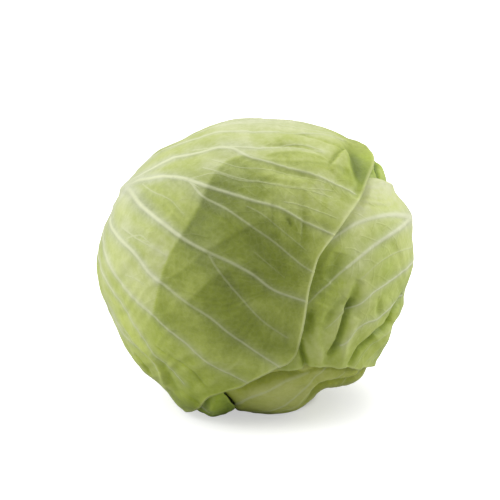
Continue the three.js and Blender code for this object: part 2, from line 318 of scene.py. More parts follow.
FRONT["folds"] = [
    ([(82, 60), (72, 63), (64, 63), (57, 63), (51, 65)], -0.9, 1.6, -0.12),
    ([(86, 50), (75, 52), (67, 54), (62, 54), (56, 53), (52, 51)], -0.8, 1.5, -0.1),
    ([(80, 38), (66, 39), (54, 41)], -0.8, 2.2, -0.05),
    ([(52, 66), (53, 60), (53, 55), (53, 48)], 2, 6, 0.02, 1),
    ([(52, 65), (53, 60), (53, 55), (53, 49)], -1.2, 1.9, -0.28, -1),
    ([(53, 63), (48, 57), (43, 54), (36, 51)], 0.8, 2.6, 0.02),
    ([(53, 75), (50, 68), (46, 63), (42, 59), (38, 56), (32, 48)], -3.2, 4.4, -0.26),
    ([(52, 86), (47, 77), (43, 70), (40, 63), (37, 56), (32, 48)], 3, 2.6, -0.02),
    ([(-158, 66), (-146, 62), (-139, 59), (-134, 61), (-129, 68), (-126, 80)], 1.8, 2.6, 0.05),
    ([(-142, 56), (-133, 59), (-127, 64), (-119, 72)], -1.2, 3.6, -0.11),
    ([(-144, 72), (-138, 72), (-133, 76)], -1.4, 2, -0.12),
    ([(-142, 53), (-138, 52), (-135, 51)], -0.6, 0.9, -0.12),
    ([(-134, 51), (-128, 50), (-121, 50), (-112, 54)], -0.6, 0.9, -0.09),
    ([(-114, 66), (-117, 82), (-122, 100)], 2.8, 8, 0),
    ([(-124, 82), (-116, 73), (-109, 65)], 0, 6, -0.22),
    ([(57, 21), (52, 20), (47, 19)], -0.7, 1, -0.22),
    ([(75, 24), (71, 20), (66, 15)], -0.5, 1.2, -0.05),
    ([(55, 30), (47, 26), (36, 21), (24, 18)], -0.5, 1.2, -0.06),
    ([(60, 30), (35, 22), (10, 17)], -0.5, 2.2, -0.03),
    ([(30, 25), (-20, 12), (-80, 10)], 0.5, 5, 0),
]
FRONT["washes"] = [
    (150, 80, 10, 0.16), (95, 76, 20, 0.14), (64, 70, 12, 0.04), (-178, 62, 18, 0.1), (60, 36, 14, 0.14),
    (-110, 8, 20, -0.05), (-120, 52, 22, -0.04), (-40, 18, 14, -0.04), (-165, 36, 10, 0.05),
    (122, 27, 8, -0.11), (-179, 33, 7, 0.05), (-155, 22, 8, 0.13), (52, 48, 7, 0.08), (33, 32, 8, 0.09),
    (-127, 69, 9, 0.07), (48, 74, 7, -0.08), (42, 59, 6, -0.1), (30, 13, 7, -0.06), (61, 28, 6, 0.1),
    (80, 53, 7, -0.04), (-152, 67, 13, 0.14), (-165, 24, 9, 0.08), (112, 15, 7, 0.04), (-152, 50, 15, 0.05),
    (-108, 38, 10, 0.04), (146, 60, 7, 0.05), (-64, 54, 7, 0.05), (-179, 28, 4, -0.06),
]
FRONT["fresh"] = [
    (44, 66, 5, 0.9), (39, 56, 5, 0.8), (-162, 58, 12, 0.26), (-135, 58, 12, 0.32), (-106, 60, 10, 0.2),
]
# Painted shade where the margins of the leaves beneath show through the blade.
FRONT["shade_overlays"] = [
    ([(40, 58), (56, 50), (68, 45), (83, 43), (97, 45), (104, 44), (110, 41), (116, 38), (128, 32),
      (144, 29), (161, 30), (175, 33), (-175, 35), (-161, 40), (-150, 49)], 0.17, 90),
    ([(50, 40), (70, 35), (88, 34), (102, 35), (110, 37), (116, 38), (122, 36), (132, 32), (146, 30),
      (161, 30), (175, 33), (-175, 35), (-161, 40), (-150, 49)], 0.08, 60),
    ([(70, 20), (95, 15), (105, 14), (134, 14), (161, 18), (179, 24), (-170, 36)], 0.14, 16),
    ([(-178, 9), (-166, 15), (-157, 21), (-152, 30)], 0.14, 14),
    ([(54, 52), (59, 52), (66, 51), (73, 49), (80, 47), (86, 44)], 0.2, 6),
    ([(60, 35), (47, 26), (25, 19)], 0.07, 7),
    ([(51, 43), (43, 34), (32, 27)], 0.06, 7),
    ([(72, 19), (57, 11)], 0.04, 8),
]
RIGHT = dict(
    PLAIN_LEAF, node="wrapper_leaf_right", slot="right_leaf", cells=276, middle=(2, 56), lift=1.4,
    haze=0.55, rim=0.5, greens=LIME_GREENS,
)
RIGHT["outline"] = [
    (17, 167), (-20, 165), (-36, 148), (-42, 125), (-41, 105), (-40, 92), (-41, 80), (-43, 69), (-47, 59),
    (-51, 53), (-56, 48), (-62, 45), (-73, 43), (-83, 41), (-88, 36), (-84, 26), (-66, 16), (-30, 10),
    (40, 10), (60, 22), (62, 34), (58, 46), (48, 54), (41, 58), (38, 62), (35, 67), (31, 75), (30, 85),
    (30, 97), (33, 110), (34, 126), (36, 142), (32, 158),
]
RIGHT["ribs"] = [
    ([(17, 168), (17, 130), (18, 104), (18, 88)], 9, 5, 2.4, 1),
    ([(18, 92), (17, 80), (18, 72), (20, 63), (22, 53), (23, 42), (19, 29)], 5, 1.8, 0.9, 1.2),
    ([(18, 90), (17, 78), (15, 65), (11, 50), (5, 40), (-1, 34)], 3.4, 2.2, 0.9, 1.4),
    ([(5, 40), (-1, 34), (-9, 30), (-24, 25), (-36, 24)], 2, 1.4, 0.5, 0.5),
    ([(17, 112), (14, 100), (7, 78), (6, 64), (2, 50), (-7, 41)], 1.5, 1, 0.3, 0.4),
    ([(17, 114), (12, 100), (3, 84), (-2, 67), (-8, 55), (-13, 48), (-19, 44),
      (-26, 40)], 2.8, 1, 0.8, 1.25),
    ([(-27, 38), (-34, 37), (-42, 36)], 1.2, 0.8, 0.3, 0.35),
    ([(17, 124), (10, 108), (-3, 92), (-10, 80), (-15, 67), (-20, 60), (-24, 56), (-28, 50), (-34, 47),
      (-43, 46)], 2.6, 1, 0.8, 1.1),
    ([(17, 134), (6, 114), (-14, 88), (-26, 70), (-35, 62), (-46, 60)], 2, 1, 0.5, 0.35),
    ([(17, 143), (2, 124), (-18, 104), (-30, 88), (-39, 76)], 2, 1.2, 0.6, 0.6),
    ([(17, 152), (-2, 134), (-22, 118), (-38, 108)], 2, 1.2, 0.5, 0.6),
    ([(17, 122), (23, 106), (28, 94), (29, 80), (35, 62)], 2, 1.2, 0.4, 0.4),
    ([(17, 142), (26, 126), (34, 112)], 1.8, 1, 0.4, 0.5),
]
RIGHT["folds"] = [
    ([(9, 32), (3, 31), (-4, 30), (-12, 28)], -2, 3.4, -0.11),
    ([(-8, 41), (-14, 40), (-20, 40), (-27, 40)], -2.6, 3.4, -0.18),
    ([(-18, 41), (-25, 40), (-32, 41), (-39, 43), (-45, 45), (-51, 46)], -3.6, 1.9, -0.36),
    ([(-19, 36), (-30, 34), (-40, 34)], -1.8, 2.8, -0.07),
    ([(-11, 76), (-18, 68), (-22, 67), (-26, 65), (-29, 61), (-33, 59), (-37, 57), (-41, 56),
      (-49, 58)], -5, 2.3, -0.4),
    ([(-37, 26), (-44, 28), (-50, 31), (-57, 32)], -3, 3.4, -0.2),
    ([(-57, 32), (-61, 37), (-62, 41), (-64, 48)], -3.2, 1.5, -0.3),
    ([(-42, 44), (-48, 46), (-55, 48)], -1.6, 3, -0.1),
    ([(-14, 52), (-18, 54), (-22, 57)], -1.2, 2.4, -0.08),
    ([(-29, 29), (-42, 31), (-49, 35), (-54, 42), (-58, 50)], 1.8, 3.4, 0.05),
    ([(-27, 45), (-38, 46), (-45, 49), (-51, 54)], 1.8, 3.4, 0.05),
    ([(-16, 74), (-28, 70), (-38, 66), (-47, 62)], 2.2, 3.4, 0.03),
    ([(40, 58), (36, 66), (33, 76), (30, 88)], -0.8, 3, 0),
]
RIGHT["washes"] = [
    (30, 74, 9, 0.22), (36, 60, 6, 0.14), (14, 92, 16, 0.12), (26, 50, 12, 0.12), (29, 47, 5, 0.12),
    (-8, 26, 8, -0.12), (-18, 43, 8, 0.05), (0, 62, 26, 0.09), (-1, 33, 6, 0.08), (-36, 47, 7, 0.05),
    (-34, 52, 9, 0.06), (-1, 24, 6, -0.09), (14, 36, 5, -0.05),
]
RIGHT["fresh"] = [(2, 56, 8, 0.22)]
LEFT = dict(
    PLAIN_LEAF, node="wrapper_leaf_left", slot="left_leaf", cells=180, middle=(-175, 72), haze=0.8,
    greens=BRIGHT_GREENS,
)
LEFT["outline"] = [
    (-175, 167), (140, 164), (125, 145), (116, 120), (112, 95), (112, 70), (122, 48), (150, 34), (-160, 34),
    (-125, 46), (-112, 52), (-107, 55), (-103, 59), (-100, 65), (-98, 71), (-100, 77), (-103, 84),
    (-109, 95), (-118, 108), (-128, 122), (-135, 145), (-147, 163),
]
LEFT["ribs"] = [
    ([(-175, 168), (-175, 130), (-160, 104), (-130, 84), (-108, 72)], 8, 2, 2, 1),
    ([(-175, 140), (-152, 126), (-136, 120)], 2.4, 1.2, 0.6, 0.6),
    ([(-170, 118), (-148, 106), (-124, 100)], 2.4, 1.2, 0.6, 0.6),
]
LEFT["folds"] = [
    ([(-116, 58), (-106, 68), (-105, 84)], 3.4, 5, 0.04),
    ([(-103, 62), (-99, 72), (-99, 84)], 0, 2.4, -0.14),
    ([(-112, 60), (-113, 70), (-114, 82)], 0, 3, -0.26),
]
LEFT["washes"] = [(-105, 80, 8, -0.12)]
BOTTOM = dict(
    PLAIN_LEAF, node="wrapper_leaf_bottom", slot="bottom_leaf", cells=220, middle=(-118, 75), haze=0.3,
    greens=YELLOW_GREENS,
)
BOTTOM["outline"] = [
    (-123, 167), (-80, 164), (-58, 145), (-44, 122), (-38, 100), (-38, 80), (-40, 55), (-30, 30), (60, 15),
    (148, 18), (-176, 30), (-171, 55), (-172, 85), (-174, 115), (176, 145), (-170, 163),
]
BOTTOM["ribs"] = [
    ([(-123, 168), (-122, 130), (-116, 104), (-106, 86)], 9, 3.4, 2.2, 1),
    ([(-112, 96), (-99, 74), (-94, 63), (-89, 57), (-82, 53), (-75, 50), (-64, 50)], 3.2, 2.2, 0.6, 0.6),
    ([(-110, 96), (-94, 82), (-85, 73), (-79, 67), (-72, 60), (-64, 55), (-55, 53)], 2.6, 2, 0.6, 0.6),
    ([(-114, 100), (-90, 82), (-74, 69), (-60, 62), (-50, 62)], 2, 1.2, 0.5, 0.5),
    ([(-116, 108), (-88, 94), (-66, 80), (-50, 72)], 2, 1.2, 0.5, 0.6),
    ([(-118, 118), (-86, 110), (-58, 96)], 2.2, 1.2, 0.6, 0.6),
    ([(-121, 134), (-88, 128), (-58, 120)], 2.2, 1.2, 0.6, 0.6),
    ([(-122, 134), (-150, 116), (-168, 98)], 2.2, 1.2, 0.6, 0.6),
    ([(-118, 112), (-140, 94), (-160, 74)], 2.2, 1.2, 0.6, 0.6),
]
BOTTOM["folds"] = [
    ([(-76, 74), (-71, 65), (-66, 59), (-60, 58), (-53, 63), (-46, 72)], 2.4, 3.2, 0.05),
    ([(-70, 80), (-63, 68), (-57, 66), (-50, 72), (-44, 80)], -2.8, 3.8, -0.2),
    ([(-98, 58), (-91, 52), (-83, 48), (-74, 47), (-66, 47)], -4, 3, -0.3),
    ([(-108, 52), (-106, 58), (-104, 63), (-101, 69), (-100, 78), (-99, 90)], -4, 2.2, -0.6),
    ([(-96, 84), (-84, 76), (-72, 80)], 0, 6, -0.18),
    ([(-78, 47), (-66, 49), (-60, 50), (-54, 54), (-48, 62), (-43, 72), (-41, 82)], -1.2, 1.4, -0.16),
]
BOTTOM["washes"] = [(-80, 60, 12, 0.1), (-122, 130, 34, 0.16), (-92, 66, 8, 0.06), (-67, 62, 8, 0.06)]
TOP = dict(
    PLAIN_LEAF, node="wrapper_leaf_top", slot="top_leaf", cells=200, middle=(99, 74), lift=0.8,
    greens=BRIGHT_GREENS,
)
TOP["outline"] = [
    (99, 167), (145, 164), (162, 145), (170, 115), (172, 85), (176, 55), (-170, 30), (-100, 13), (-20, 20),
    (10, 45), (17, 70), (19, 90), (22, 115), (33, 145), (55, 163),
]
TOP["ribs"] = [
    ([(99, 168), (94, 130), (78, 104), (56, 88)], 9, 3, 2.2, 1),
    ([(92, 124), (66, 108), (44, 100), (30, 96)], 2.4, 1.2, 0.6, 0.6),
    ([(96, 140), (68, 126), (44, 120), (28, 118)], 2.4, 1.2, 0.6, 0.6),
    ([(60, 90), (46, 82), (36, 78)], 1.6, 1, 0.4, 0.4),
]
TOP["folds"] = [
    ([(41, 88), (39, 78), (37, 73), (34, 71), (30, 70)], -3, 1.2, -0.6),
    ([(45, 90), (42, 88), (38, 86), (34, 84)], 0.8, 3, 0.04),
]
TOP["washes"] = [(36, 80, 10, -0.03)]
LOWER_RIGHT = dict(
    PLAIN_LEAF, node="wrapper_leaf_lower_right", slot="lower_right_leaf", cells=160, middle=(-40, 76),
)
LOWER_RIGHT["outline"] = [
    (-38, 167), (5, 164), (24, 145), (33, 115), (34, 85), (42, 55), (80, 30), (150, 22), (-130, 28),
    (-112, 55), (-108, 85), (-108, 115), (-104, 145), (-84, 163),
]
LOWER_RIGHT["ribs"] = [
    ([(-38, 168), (-38, 130), (-42, 100)], 9, 3.4, 2.2, 1),
    ([(-38, 146), (-18, 136), (6, 130)], 2.2, 1.2, 0.6, 0.6),
    ([(-38, 146), (-60, 136), (-84, 132)], 2.2, 1.2, 0.6, 0.6),
]
LOWER_RIGHT["washes"] = [(-40, 130, 30, 0.12)]
LEAVES = [FRONT, RIGHT, LEFT, BOTTOM, TOP, LOWER_RIGHT]


def make_chart(leaf):
    """A leaf's own chart: its middle, axes, and margin as an angle at each turn round the middle."""
    middle = directions([leaf["middle"]])[0]
    to_stem = unit(-GROWTH + (GROWTH @ middle) * middle)
    chart = {"middle": middle, "to_stem": to_stem, "sideways": np.cross(middle, to_stem)}
    angle, turn = chart_points(chart, directions(leaf["outline"]))
    chart["margin"] = closed_curve(turn, angle, 2 * math.pi)
    ring = np.linspace(-math.pi, math.pi, 361)
    edge = chart_directions(chart, chart["margin"](ring), ring)
    chart["edge"] = as_segments([edge], [(1, 1)])
    return chart


def chart_points(chart, dirs):
    return angle_from(dirs, chart["middle"]), np.arctan2(dirs @ chart["sideways"], dirs @ chart["to_stem"])


def chart_directions(chart, angle, turn):
    outwards = np.cos(turn)[:, None] * chart["to_stem"] + np.sin(turn)[:, None] * chart["sideways"]
    return np.cos(angle)[:, None] * chart["middle"] + np.sin(angle)[:, None] * outwards


def outside_margin(leaf, dirs):
    """Distance in mm from a leaf's margin, above 0 outside the leaf and below 0 within it."""
    chart = leaf["chart"]
    angle, turn = chart_points(chart, dirs)
    distance = nearest(dirs, chart["edge"])["distance"]
    return np.where(angle <= chart["margin"](turn), -distance, distance)


for leaf_number, each_leaf in enumerate(LEAVES):
    each_leaf["number"] = leaf_number
    each_leaf["chart"] = make_chart(each_leaf)

# How sharply one-sided folds and overlays begin, in mm, and over what share of its line an overlay fades at
# each end.
FOLD_EDGE = 0.7
OVERLAY_EDGE = 1.2
OVERLAY_ENDS = 0.1


def fold_relief(leaf, dirs):
    """Height and painted light and shade of a leaf's folds, creases and rolled edges. Each one fades out at
    its two ends.
    """
    relief, tone = np.zeros(len(dirs)), np.zeros(len(dirs))
    for points, height, half_width, painted_shading, *side in leaf["folds"]:
        found = nearest_line(dirs, points)
        fade = np.sqrt(np.sin(math.pi * np.clip(found["along"], 0, 1)))
        shape = fade * np.exp(-(found["distance"] / half_width) ** 2)
        if side:
            shape = shape * smoothstep(found["side"] * side[0] * found["distance"], -FOLD_EDGE, FOLD_EDGE)
        relief += height * shape
        # Painted shade down in the hollows, painted light along the crests.
        tone += painted_shading * shape
    return relief, tone


def painted_overlay_shade(leaf, dirs):
    """Painted shade: deeper green where another leaf's margin shows through, sharp on one side, fading on
    the other.
    """
    total = np.zeros(len(dirs))
    for points, amount, fade in leaf["shade_overlays"]:
        found = nearest_line(dirs, points)
        signed = found["side"] * found["distance"]
        ends = smoothstep(np.minimum(found["along"], 1 - found["along"]), 0.0, OVERLAY_ENDS)
        beside = smoothstep(signed, -OVERLAY_EDGE, OVERLAY_EDGE) * np.exp(-np.maximum(signed, 0) / fade)
        total += amount * ends * beside
    return total


# -------- ribs and veinlets

# What counts as far from a rib: in half widths of it, and in mm.
FAR_SHARE = 9.0
FAR = 40.0

# A rib: how far it reaches in half widths, the share of its height that it stands up, and the shares of
# that and of its paleness that it loses towards its tip.
RIB_EDGE = 1.15
RIDGE_SHARE = 0.7
RIDGE_LOSS = 0.45
PALENESS_LOSS = 0.5

# A rib that starts wider than this, in mm, has a share of its strength there and is in full this far on.
MAIN_RIB = 2.5
RIB_AT_BASE = 0.35
RIB_IN_FULL = 0.3

# The deeper green to the right of a strong rib: how much, and how far it reaches in mm.
RIB_SHADE = 0.06
SHADE_REACH = 3.5

# The pale haze beside a rib: its reach in mm at the base and further on, and how suddenly it ends.
HAZE_AT_BASE = 8.0
HAZE_AT_TIP = 2.4
HAZE_POWER = 1.4

# A veinlet: its half widths at its two ends and its height, in mm, and its reach in half widths.
VEINLET_WIDTHS = (0.45, 0.25)
VEINLET_HEIGHT = 0.06
VEINLET_EDGE = 1.6


def veinlets_of(ribs, seed):
    """Short side veins off each rib, leaning the way the rib runs."""
    random = np.random.default_rng(seed)
    steps = np.linspace(0, 1, 6)[:, None]
    made = []
    for points, *_ in ribs:
        line = smooth_line(points, step=1.5)
        place = random.uniform(2, 5)
        side = 1
        while place < len(line) - 4:
            here, after = line[int(place)], line[int(place) + 2]
            along = unit(after - here)
            across = np.cross(here, along)
            lean = math.radians(random.uniform(40, 70))
            length = random.uniform(5, 13) / MEAN_RADIUS
            way = math.cos(lean) * along + side * math.sin(lean) * across
            bend = random.uniform(0.2, 0.7) * length * along * steps ** 2
            wiggle = 0.06 * length * np.sin(random.uniform(4, 9) * steps) * along
            made.append(unit(here + way * length * steps + bend + wiggle))
            place += random.uniform(1.4, 4.0)
            side = -side
    return made


def rib_fields(leaf, dirs):
    """Distance from the leaf's ribs and veinlets in half widths, their height, and how pale they are."""
    count = len(dirs)
    best = {"share": np.full(count, FAR_SHARE), "side": np.ones(count), "power": np.zeros(count)}
    height, haze, shade, distance = np.zeros(count), np.zeros(count), np.zeros(count), np.full(count, FAR)
    for points, start_width, end_width, rise, paleness in leaf["ribs"]:
        found = nearest(dirs, as_segments([smooth_line(points)], [(start_width / 2, end_width / 2)]))
        along, share = found["along"], found["share"]
        power = paleness * (1 - PALENESS_LOSS * smoothstep(along, 0.2, 1.0))
        haze_reach = HAZE_AT_BASE + (HAZE_AT_TIP - HAZE_AT_BASE) * smoothstep(along, 0.0, 0.5)
        haze = np.maximum(haze, power * np.exp(-(found["distance"] / haze_reach) ** HAZE_POWER))
        ridge = RIDGE_SHARE * rise * (1 - RIDGE_LOSS * along)
        height = np.maximum(height, ridge * np.exp(-(share / RIB_EDGE) ** 2))
        distance = np.minimum(distance, found["distance"])
        on_right = power * (found["side"] < 0)
        shade = np.maximum(shade, RIB_SHADE * on_right * np.exp(-found["distance"] / SHADE_REACH))
        if start_width > MAIN_RIB:
            power = power * (RIB_AT_BASE + (1 - RIB_AT_BASE) * smoothstep(along, 0.0, RIB_IN_FULL))
        closer = share < best["share"]
        for key, values in (("share", share), ("side", found["side"]), ("power", power)):
            best[key] = np.where(closer, values, best[key])
    veinlets = veinlets_of(leaf["ribs"], seed=40 + leaf["number"])
    small = nearest(dirs, as_segments(veinlets, [VEINLET_WIDTHS] * len(veinlets)))
    return {
        "rib": np.clip(best["share"] * best["side"], -FAR_SHARE, FAR_SHARE),
        "rib_near": np.clip(best["share"], 0, FAR_SHARE),
        "rib_power": best["power"],
        "haze": haze,
        "shade": shade,
        "rib_distance": distance,
        "veinlet": np.clip(small["share"] * small["side"], -FAR_SHARE, FAR_SHARE),
        "veinlet_near": np.clip(small["share"], 0, FAR_SHARE),
        "height": np.maximum(height, VEINLET_HEIGHT * np.exp(-(small["share"] / VEINLET_EDGE) ** 2)),
    }


# -------- tone, freshness and wrinkles

BLADE_TONE = 0.6

# The fresher green low down and further out: the reaches it builds up over, how much there is halfway up
# the head, and the most there is.
FRESH_RISE = (25, 70)
FRESH_HALFWAY = 0.48
FRESH_MOST = 0.63

# The wrinkles that fan out over a leaf: how many waves they have, their painted shading (paler on their
# crests, deeper in their troughs) and their height in mm.
WRINKLE_WAVES = 24
WRINKLE_SHADING = 0.015
WRINKLE_HEIGHT = 0.12

# The painted highlight where the rims catch the light: the place where it is brightest, how far that
# spreads, and the share that is left elsewhere.
BRIGHTEST_RIM = (-6, 26)
RIM_SPREAD = 26
RIM_LEAST = 0.35

# How much paler the blade is painted towards a highlit rim, and over how many mm.
RIM_PALENESS = 0.16
RIM_FADE = 2.6

# How much an overlay or a dark fold dims the ribs and haze across it, for each unit of its depth.
RIB_DIMMING = 1.8

# The painted sheen on top of the head, paler where the light from above glances off it: how strong it is,
# and the shares of the radius it builds up over.
TOP_SHEEN = 0.35
TOP_SHEEN_RISE = (0.78, 1.0)


def washed(washes, dirs):
    """The sum of some washes at each direction."""
    total = np.zeros(len(dirs))
    for clock, reach, spread, amount in washes:
        total += amount * bell(degrees_from(dirs, directions([(clock, reach)])[0]), spread)
    return total


def tone_of(leaf, dirs):
    """How pale the plain blade is, from 0 for deep green to 1 for nearly white."""
    clouds = bumps(dirs, strength=0.03, wavelength=30, seed=70 + leaf["number"])
    mottle = bumps(dirs, strength=0.012, wavelength=11, seed=80 + leaf["number"])
    # The washes bring in painted light and painted shade besides the leaf's own paler and deeper patches.
    return BLADE_TONE + washed(leaf["washes"], dirs) + clouds + mottle


def freshness(leaf, dirs):
    """How fresh the green is, 0 to 1: none at the head's tip and top, most at its underside."""
    outer = smoothstep(degrees_from(dirs, GROWTH), *FRESH_RISE)
    lower = np.clip(FRESH_HALFWAY * (1 - dirs @ UPRIGHT), 0, FRESH_MOST)
    return np.clip(lower * outer + washed(leaf["fresh"], dirs), 0, 1)


def wrinkles_of(leaf, dirs):
    """Faint wrinkles that fan out from the base of a leaf, about -1 to 1."""
    base = directions([leaf["outline"][0]])[0]
    aside = unit(np.cross(base, leaf["chart"]["middle"]))
    ahead = np.cross(aside, base)
    turn = np.arctan2(dirs @ aside, dirs @ ahead)
    turn += bumps(dirs, strength=0.1, wavelength=60, seed=120 + leaf["number"])
    away = angle_from(dirs, base)
    random = np.random.default_rng(130 + leaf["number"])
    total = np.zeros(len(dirs))
    for _ in range(WRINKLE_WAVES):
        across = random.uniform(30, 90) * turn
        outwards = random.uniform(-9, 9) * away
        total += np.sin(across + outwards + random.uniform(0, 6.3))
    return total / math.sqrt(WRINKLE_WAVES)


# Painted highlight along a leaf's margin: brightest round one place, uneven along the edge.
def rim_highlight(leaf, dirs):
    away = degrees_from(dirs, directions([BRIGHTEST_RIM])[0])
    near = RIM_LEAST + (1 - RIM_LEAST) * bell(away, RIM_SPREAD)
    uneven = 1 + bumps(dirs, strength=0.25, wavelength=18, seed=90 + leaf["number"])
    return np.clip(leaf["rim"] * near * uneven, 0, 1)


# -------- layers

# A blade's thickness, its thickness at the margin, and how many mm it thickens over.
BLADE = 0.8
BLADE_AT_MARGIN = 0.4
BLADE_THICKENS = 8

# How far a layer lies under the one over it, and where outside that one's margin it starts to rise and is
# back up: on the head, and where the head is pressed flat.
LAYER_STEP = 1.25
RISE_START = 2.5
RISE_END = 24.0
PRESSED_RISE_END = 14.0

# Where outside the margins over it a leaf's ridges and its hollows begin and are full, and how far beyond
# its own margin the hollows still press into the leaves below.
RIDGES_OPEN = (0.5, 6)
HOLLOWS_OPEN = (-10, -2)
HOLLOW_FADE = 6

# How high a blade swells, how much more away from its ribs and over how many mm, and how many mm the lift
# of its margin dies away over.
SWELL = 0.5
SWELL_BETWEEN_RIBS = 0.35
SWELL_REACH = 5
LIFT_FADE = 4


def margins_outside(dirs, count):
    """How far every direction lies outside the margin of each of the first count leaves, in mm."""
    return [outside_margin(leaf, dirs) for leaf in LEAVES[:count]]


def exposure(outside, low, high):
    """1 where no leaf further out covers the place, rising from low to high mm outside their margins."""
    open_part = 1.0
    for distance in outside:
        open_part = open_part * smoothstep(distance, low, high)
    return open_part


def level_radius(dirs, drop):
    """Radius of a level face that lies drop mm under the head's centre."""
    down = -dirs[:, 2]
    return np.where(down > 0, drop / np.maximum(down, 1e-6), np.inf)


def layer_radius(dirs, outside):
    """Radius of the face under the leaves that outside is given for, flat where the head lies."""
    free = head_radius(dirs)
    drop = np.full(len(dirs), CENTRE[2])
    for number, distance in enumerate(outside):
        free -= LAYER_STEP * (1 - smoothstep(distance, RISE_START, RISE_END))
        drop -= LAYER_STEP * (1 - smoothstep(distance, RISE_START, PRESSED_RISE_END))
        folds, _ = fold_relief(LEAVES[number], dirs)
        hollows = np.minimum(folds, 0) * exposure(outside[:number], *HOLLOWS_OPEN)
        free += hollows * (1 - smoothstep(distance, 0, HOLLOW_FADE))
    return np.minimum(free, level_radius(dirs, drop))


def leaf_surface(leaf, dirs):
    """A leaf's outer face and blade thickness at each direction, with its fields for the material."""
    number = leaf["number"]
    within = -outside_margin(leaf, dirs)
    inwards = np.maximum(within, 0)
    outside = margins_outside(dirs, number)
    fields = rib_fields(leaf, dirs)
    folds, fold_shading = fold_relief(leaf, dirs)
    wrinkles = wrinkles_of(leaf, dirs)

    blade = bumps(dirs, strength=0.35, wavelength=26, seed=11 + number)
    blade += bumps(dirs, strength=0.12, wavelength=9, seed=31 + number)
    blade = np.maximum(blade + WRINKLE_HEIGHT * wrinkles + SWELL, 0)
    blade += SWELL_BETWEEN_RIBS * (1 - np.exp(-fields.pop("rib_distance") / SWELL_REACH))
    lift = leaf["lift"] + bumps(dirs, strength=0.5, wavelength=34, seed=51 + number)
    relief = folds + blade + fields.pop("height") + np.maximum(lift * np.exp(-inwards / LIFT_FADE), 0)
    ridges = np.maximum(relief, 0) * exposure(outside, *RIDGES_OPEN)
    hollows = np.minimum(relief, 0) * exposure(outside, *HOLLOWS_OPEN)
    radius = np.minimum(layer_radius(dirs, outside) + ridges + hollows, level_radius(dirs, CENTRE[2]))
    thickness = BLADE_AT_MARGIN + (BLADE - BLADE_AT_MARGIN) * smoothstep(within, 0, BLADE_THICKENS)

    # Painted highlight on the margin, with the blade painted a little paler towards it.
    fields["rim"] = rim_highlight(leaf, dirs)
    towards_highlight = RIM_PALENESS * fields["rim"] * np.exp(-inwards / RIM_FADE)
    # Painted shade from the overlays, which also dims the ribs and haze across it.
    painted_shading = painted_overlay_shade(leaf, dirs)
    shaded = painted_shading - np.minimum(fold_shading, 0)
    for key in ("rib_power", "haze"):
        fields[key] = fields[key] * np.clip(1 - RIB_DIMMING * shaded, 0, 1)
    # Painted sheen on top of the head, laid in as haze.
    painted_top_sheen = TOP_SHEEN * smoothstep(dirs @ UPRIGHT, *TOP_SHEEN_RISE)
    fields["haze"] = np.maximum(fields["haze"] * leaf["haze"], painted_top_sheen)
    tone = tone_of(leaf, dirs) - painted_shading + fold_shading + WRINKLE_SHADING * wrinkles
    fields["tone"] = tone + towards_highlight - fields.pop("shade")
    fields["fresh"] = freshness(leaf, dirs)
    fields["within"] = np.clip(within, 0, FAR)
    return radius, thickness, fields


# -------- leaf meshes

def square_to_round(cells):
    """For a square grid, how far out towards the margin each point lands and its turn."""
    line = 2 * np.arange(cells + 1) / cells - 1
    across, up = (values.ravel() for values in np.meshgrid(line, line))
    wide = np.abs(across) > np.abs(up)
    safe_across = np.where(wide, across, 1)
    safe_up = np.where(~wide & (up != 0), up, 1)
    turn_wide = math.pi / 4 * up / safe_across + np.where(across < 0, math.pi, 0)
    turn_tall = math.pi / 2 - math.pi / 4 * across / safe_up + np.where(up < 0, math.pi, 0)
    turn = np.where(wide, turn_wide, turn_tall)
    return np.maximum(np.abs(across), np.abs(up)), np.arctan2(np.sin(turn), np.cos(turn))


def lowest_near(values, reach):
    """The lowest value within reach cells of each grid point."""
    side = values.shape[0]
    padded = np.pad(values, reach, mode="edge")
    shifts = range(2 * reach + 1)
    return np.min([padded[r:r + side, c:c + side] for r in shifts for c in shifts], axis=0)


def border_of(cells):
    """Grid numbers round the edge of a square grid."""
    side = cells + 1
    steps = np.arange(cells)
    back = cells - steps
    return np.concatenate([steps, steps * side + cells, cells * side + back, back * side])


def quads_of(index):
    """The four corners of each cell in a grid of point numbers."""
    corners = [index[:-1, :-1], index[:-1, 1:], index[1:, 1:], index[1:, :-1]]
    return np.stack(corners, -1).reshape(-1, 4).tolist()


def leaf_mesh(leaf):
    """One closed leaf: a fine outer face, an inner face at half the density, and the margin between."""
    chart, cells = leaf["chart"], leaf["cells"]
    side, small = cells + 1, cells // 2 + 1
    share, turn = square_to_round(cells)
    dirs = chart_directions(chart, share * chart["margin"](turn), turn)
    radius, thickness, fields = leaf_surface(leaf, dirs)

    index = np.arange(side * side).reshape(side, side)
    picked = index[::2, ::2].ravel()
    low = lowest_near(radius.reshape(side, side), 2).ravel()[picked]
    inner_radius = np.where(np.isclose(share[picked], 1), radius[picked], low) - thickness[picked]
    outer = CENTRE + dirs * radius[:, None]
    inner = CENTRE + dirs[picked] * inner_radius[:, None]

    under = side * side + np.arange(small * small).reshape(small, small)
    fine = border_of(cells)
    rough = side * side + border_of(cells // 2)
    first, second, third = fine[::2], fine[1::2], np.roll(fine, -1)[1::2]
    rough_after = np.roll(rough, -1)
    rim = [(first, rough, second), (second, rough, rough_after), (second, rough_after, third)]
    faces = quads_of(index) + quads_of(under.T)
    for corners in rim:
        faces += np.stack(corners, 1).tolist()
    named = {key: np.concatenate([values, values[picked]]) for key, values in fields.items()}
    return build_mesh(leaf["node"] + "_shape", np.vstack([outer, inner]), faces, named)


